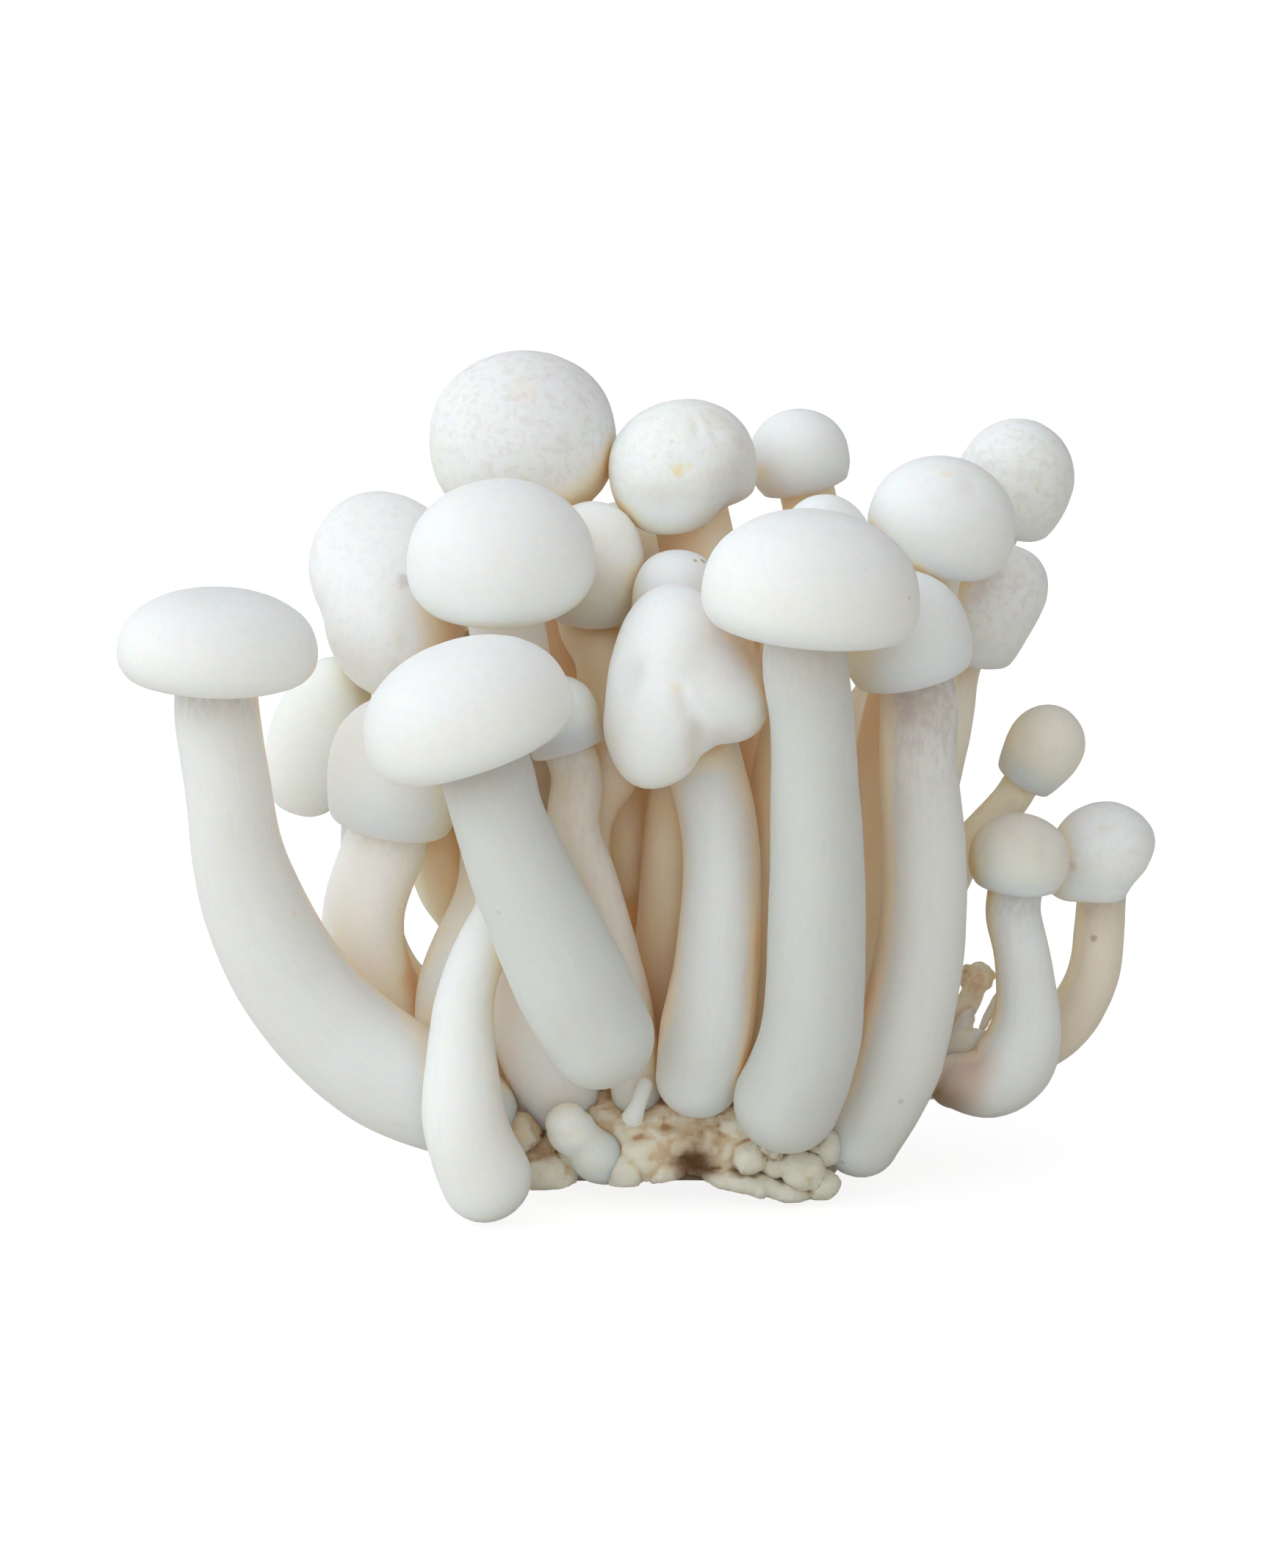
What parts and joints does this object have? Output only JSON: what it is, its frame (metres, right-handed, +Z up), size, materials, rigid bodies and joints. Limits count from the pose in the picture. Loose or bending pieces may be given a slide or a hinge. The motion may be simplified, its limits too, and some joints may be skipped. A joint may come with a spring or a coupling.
{
  "type": "mushroom bunch",
  "caption": "Bunch of smooth round-capped white mushrooms with thick curved stems that share one lumpy base, standing upright on the base's flat cut face.",
  "frame": {"origin": "on the flat cut face of the base, below the middle of the bunch", "axes": "+Z up, along the stems from the cut face; +X to the right of someone facing the bunch's front; +Y away from them"},
  "size_m": [0.108, 0.0744, 0.0853],
  "materials": {
    "cap": "smooth matt white cap skin",
    "stem": "ivory stem flesh with fine lengthwise fibres",
    "bud": "cream to tan young flesh",
    "base": "rough tan mycelium with brown stains"
  },
  "bodies": {
    "root": {"back_inner_left_cap": "cap", "back_inner_left_stem": "stem", "back_inner_right_cap": "cap", "back_inner_right_stem": "stem", "back_left_cap": "cap", "back_left_stem": "stem", "back_right_cap": "cap", "back_right_stem": "stem", "behind_right_cap": "cap", "behind_right_stem": "stem", "bud_gap": "bud", "bud_shaded": "bud", "centre_lumpy_cap": "cap", "centre_lumpy_stem": "stem", "centre_small_cap": "cap", "centre_small_stem": "stem", "crown_back_cap": "cap", "crown_back_stem": "stem", "crown_far_right_cap": "cap", "crown_far_right_stem": "stem", "crown_inner_cap": "cap", "crown_inner_stem": "stem", "crown_left_cap": "cap", "crown_left_stem": "stem", "crown_middle_cap": "cap", "crown_middle_stem": "stem", "crown_right_cap": "cap", "crown_right_stem": "stem", "cut_base": "base", "front_club_cap": "cap", "front_club_stem": "stem", "front_left_cap": "cap", "front_left_stem": "stem", "front_right_cap": "cap", "front_right_stem": "stem", "front_slim_cap": "cap", "front_slim_stem": "stem", "left_back_cap": "cap", "left_back_stem": "stem", "left_egg_cap": "cap", "left_egg_stem": "stem", "left_lobed_cap": "cap", "left_lobed_stem": "stem", "left_outer_cap": "cap", "left_outer_stem": "stem", "pin_front": "bud", "pin_right": "bud", "pin_tiny": "bud", "right_ball_cap": "cap", "right_ball_stem": "stem", "right_hooked_cap": "cap", "right_hooked_stem": "stem", "right_leaning_cap": "cap", "right_leaning_stem": "stem", "right_low_cap": "cap", "right_low_stem": "stem", "right_notched_cap": "cap", "right_notched_stem": "stem", "upper_left_cap": "cap", "upper_left_stem": "stem"}
  },
  "joints": []
}
